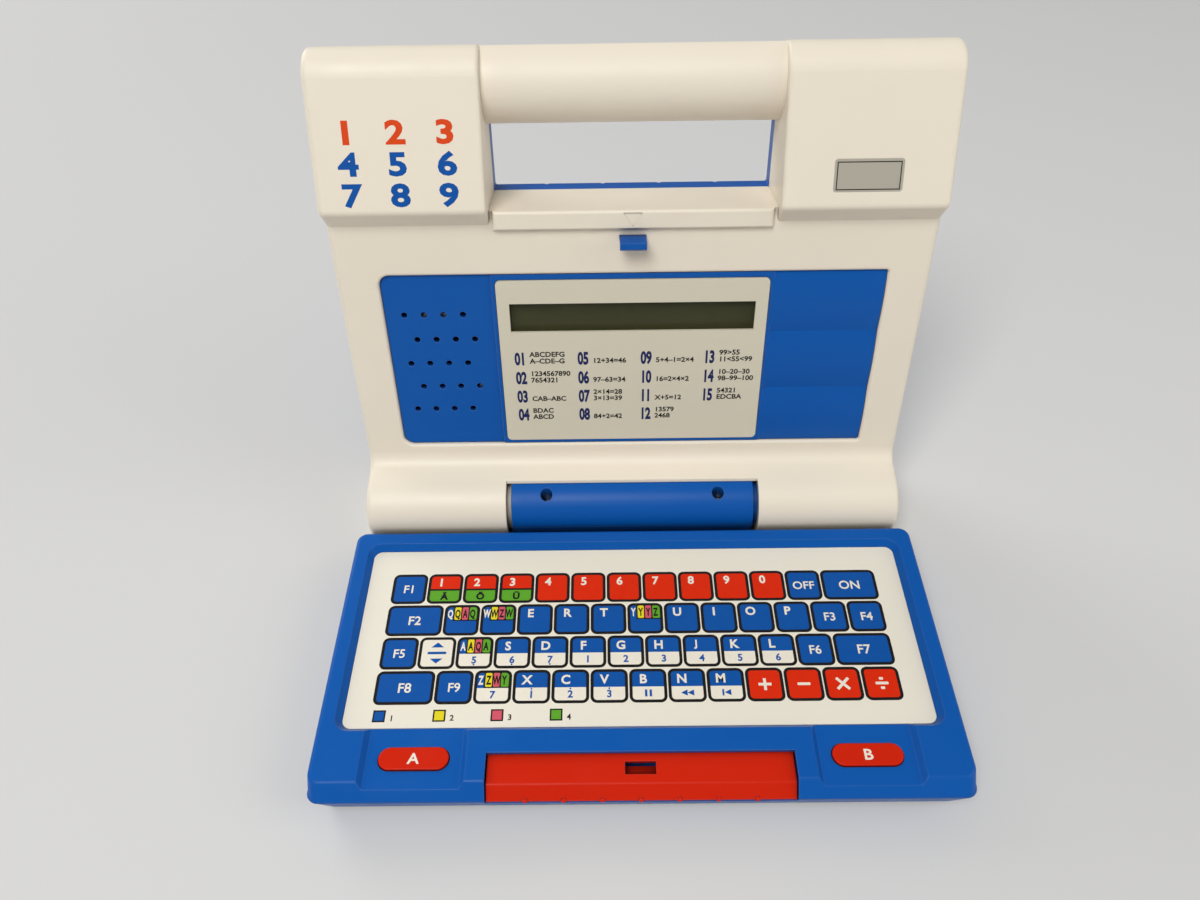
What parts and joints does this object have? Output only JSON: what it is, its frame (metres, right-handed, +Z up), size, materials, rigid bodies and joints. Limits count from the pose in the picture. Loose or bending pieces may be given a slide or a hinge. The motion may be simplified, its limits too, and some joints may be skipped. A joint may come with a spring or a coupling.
{
  "type": "toy laptop computer",
  "caption": "Toy laptop with a flat membrane keyboard, player buttons and a sliding latch in the base, and a hinged lid with a small screen, speaker and carrying handle.",
  "frame": {"origin": "on the table, under the middle of the open toy's bounding box", "axes": "+Z up, -Y towards the user, +X to the user's right along the hinge axis"},
  "size_m": [0.27, 0.2388, 0.2198],
  "materials": {
    "blue_plastic": "semi-gloss",
    "cream_plastic": "satin",
    "red_plastic": "semi-gloss",
    "printed_sheet": "matte, printed",
    "clear_film": "clear film",
    "clear_window": "clear",
    "display_glass": "dark grey green",
    "grey_plastic": "satin",
    "green_board": "solder mask",
    "black_plastic": "matte",
    "steel": "bright zinc",
    "rubber": "matte",
    "paper_cone": "paper",
    "magnet": "dull",
    "cell_wrap": "plain wrap"
  },
  "bodies": {
    "base": {"deck_shell": "blue_plastic", "base_bottom_case": "blue_plastic", "hinge_cover": "blue_plastic", "hinge_cover_screws": "steel", "hinge_pin_left": "grey_plastic", "hinge_pin_right": "grey_plastic", "keyboard_overlay": "printed_sheet", "membrane_sheet": "clear_film", "membrane_tail": "clear_film", "keyboard_board": "green_board", "tail_socket": "black_plastic", "player_a_dome": "rubber", "player_a_board": "green_board", "player_b_dome": "rubber", "player_b_board": "green_board", "latch_springs": "steel", "base_feet": "rubber", "base_screws": "steel", "base_cable": "black_plastic"},
    "lid": {"lid_front_shell": "cream_plastic", "lid_back_cover": "blue_plastic", "screen_surround": "blue_plastic", "screen_plate": "printed_sheet", "screen_window": "clear_window", "display_glass": "display_glass", "display_frame": "black_plastic", "display_strips": "rubber", "main_board": "green_board", "board_parts": "black_plastic", "board_screws": "steel", "speaker_frame": "steel", "speaker_cone": "paper_cone", "speaker_magnet": "magnet", "battery_cells": "cell_wrap", "battery_springs": "steel", "battery_contacts": "steel", "battery_door": "blue_plastic", "battery_door_screw": "steel", "latch_hook": "blue_plastic", "name_plate": "grey_plastic", "hinge_spacer_left": "cream_plastic", "hinge_spacer_right": "blue_plastic", "lid_screws": "steel", "lid_cable": "black_plastic"},
    "player_a_button": {"player_a_button": "red_plastic"},
    "player_b_button": {"player_b_button": "red_plastic"},
    "latch_bar": {"latch_bar": "red_plastic"}
  },
  "joints": [
    {"name": "lid_hinge", "type": "hinge", "parent": "base", "child": "lid", "pos_m": [0, 0.03182, 0.0182], "axis": [1, 0, 0], "range_deg": [0, 103.7]},
    {"name": "player_a_press", "type": "slide", "parent": "base", "child": "player_a_button", "axis": [0, 0, -1], "range_m": [0, 0.001], "stiffness_N_per_m": 600, "springref_m": -0.001, "deforming": ["player_a_dome"]},
    {"name": "player_b_press", "type": "slide", "parent": "base", "child": "player_b_button", "axis": [0, 0, -1], "range_m": [0, 0.001], "stiffness_N_per_m": 600, "springref_m": -0.001, "deforming": ["player_b_dome"]},
    {"name": "latch_push", "type": "slide", "parent": "base", "child": "latch_bar", "axis": [0, 1, 0], "range_m": [0, 0.0026], "stiffness_N_per_m": 400, "springref_m": -0.003, "deforming": ["latch_springs"]}
  ]
}
